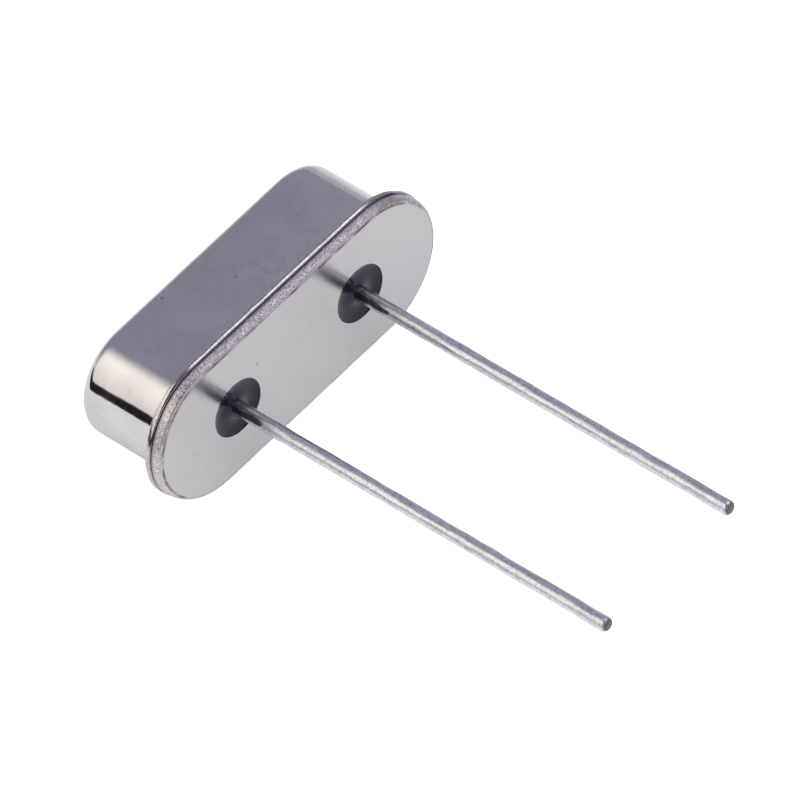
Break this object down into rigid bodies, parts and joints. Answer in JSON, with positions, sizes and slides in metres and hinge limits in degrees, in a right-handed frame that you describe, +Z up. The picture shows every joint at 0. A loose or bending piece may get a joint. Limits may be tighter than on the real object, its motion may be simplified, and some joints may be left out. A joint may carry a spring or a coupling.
{
  "type": "crystal oscillator",
  "caption": "Low-profile quartz crystal: a long round-ended metal can welded to a flanged base, with two straight leads through dark glass seals, lying on its side.",
  "frame": {"origin": "on the surface that the part rests on, under the middle of its box", "axes": "+X along the can's long axis; -Y the way the leads point, seen from above, so the can's closed end is towards +Y; +Z up, out of the long flat side that lies uppermost"},
  "size_m": [0.011, 0.0168, 0.0051],
  "materials": {
    "plated_can": "smooth nickel plate, lightly smudged",
    "plated_base": "satin nickel plate with a grainy rolled edge",
    "seal_glass": "opaque dark glass, glossy",
    "tinned_lead": "bright tin, drawn lengthwise",
    "spring_strip": "thin plated strip, satin",
    "quartz": "fine lapped quartz",
    "silver_film": "evaporated silver, smooth",
    "silver_adhesive": "silver-filled adhesive, dull"
  },
  "bodies": {
    "root": {"can": "plated_can", "base": "plated_base", "glass_seal_left": "seal_glass", "glass_seal_right": "seal_glass", "lead_left": "tinned_lead", "lead_right": "tinned_lead", "spring_left": "spring_strip", "spring_right": "spring_strip", "quartz_blank": "quartz", "electrode_top": "silver_film", "electrode_bottom": "silver_film", "adhesive_left": "silver_adhesive", "adhesive_right": "silver_adhesive"}
  },
  "joints": []
}
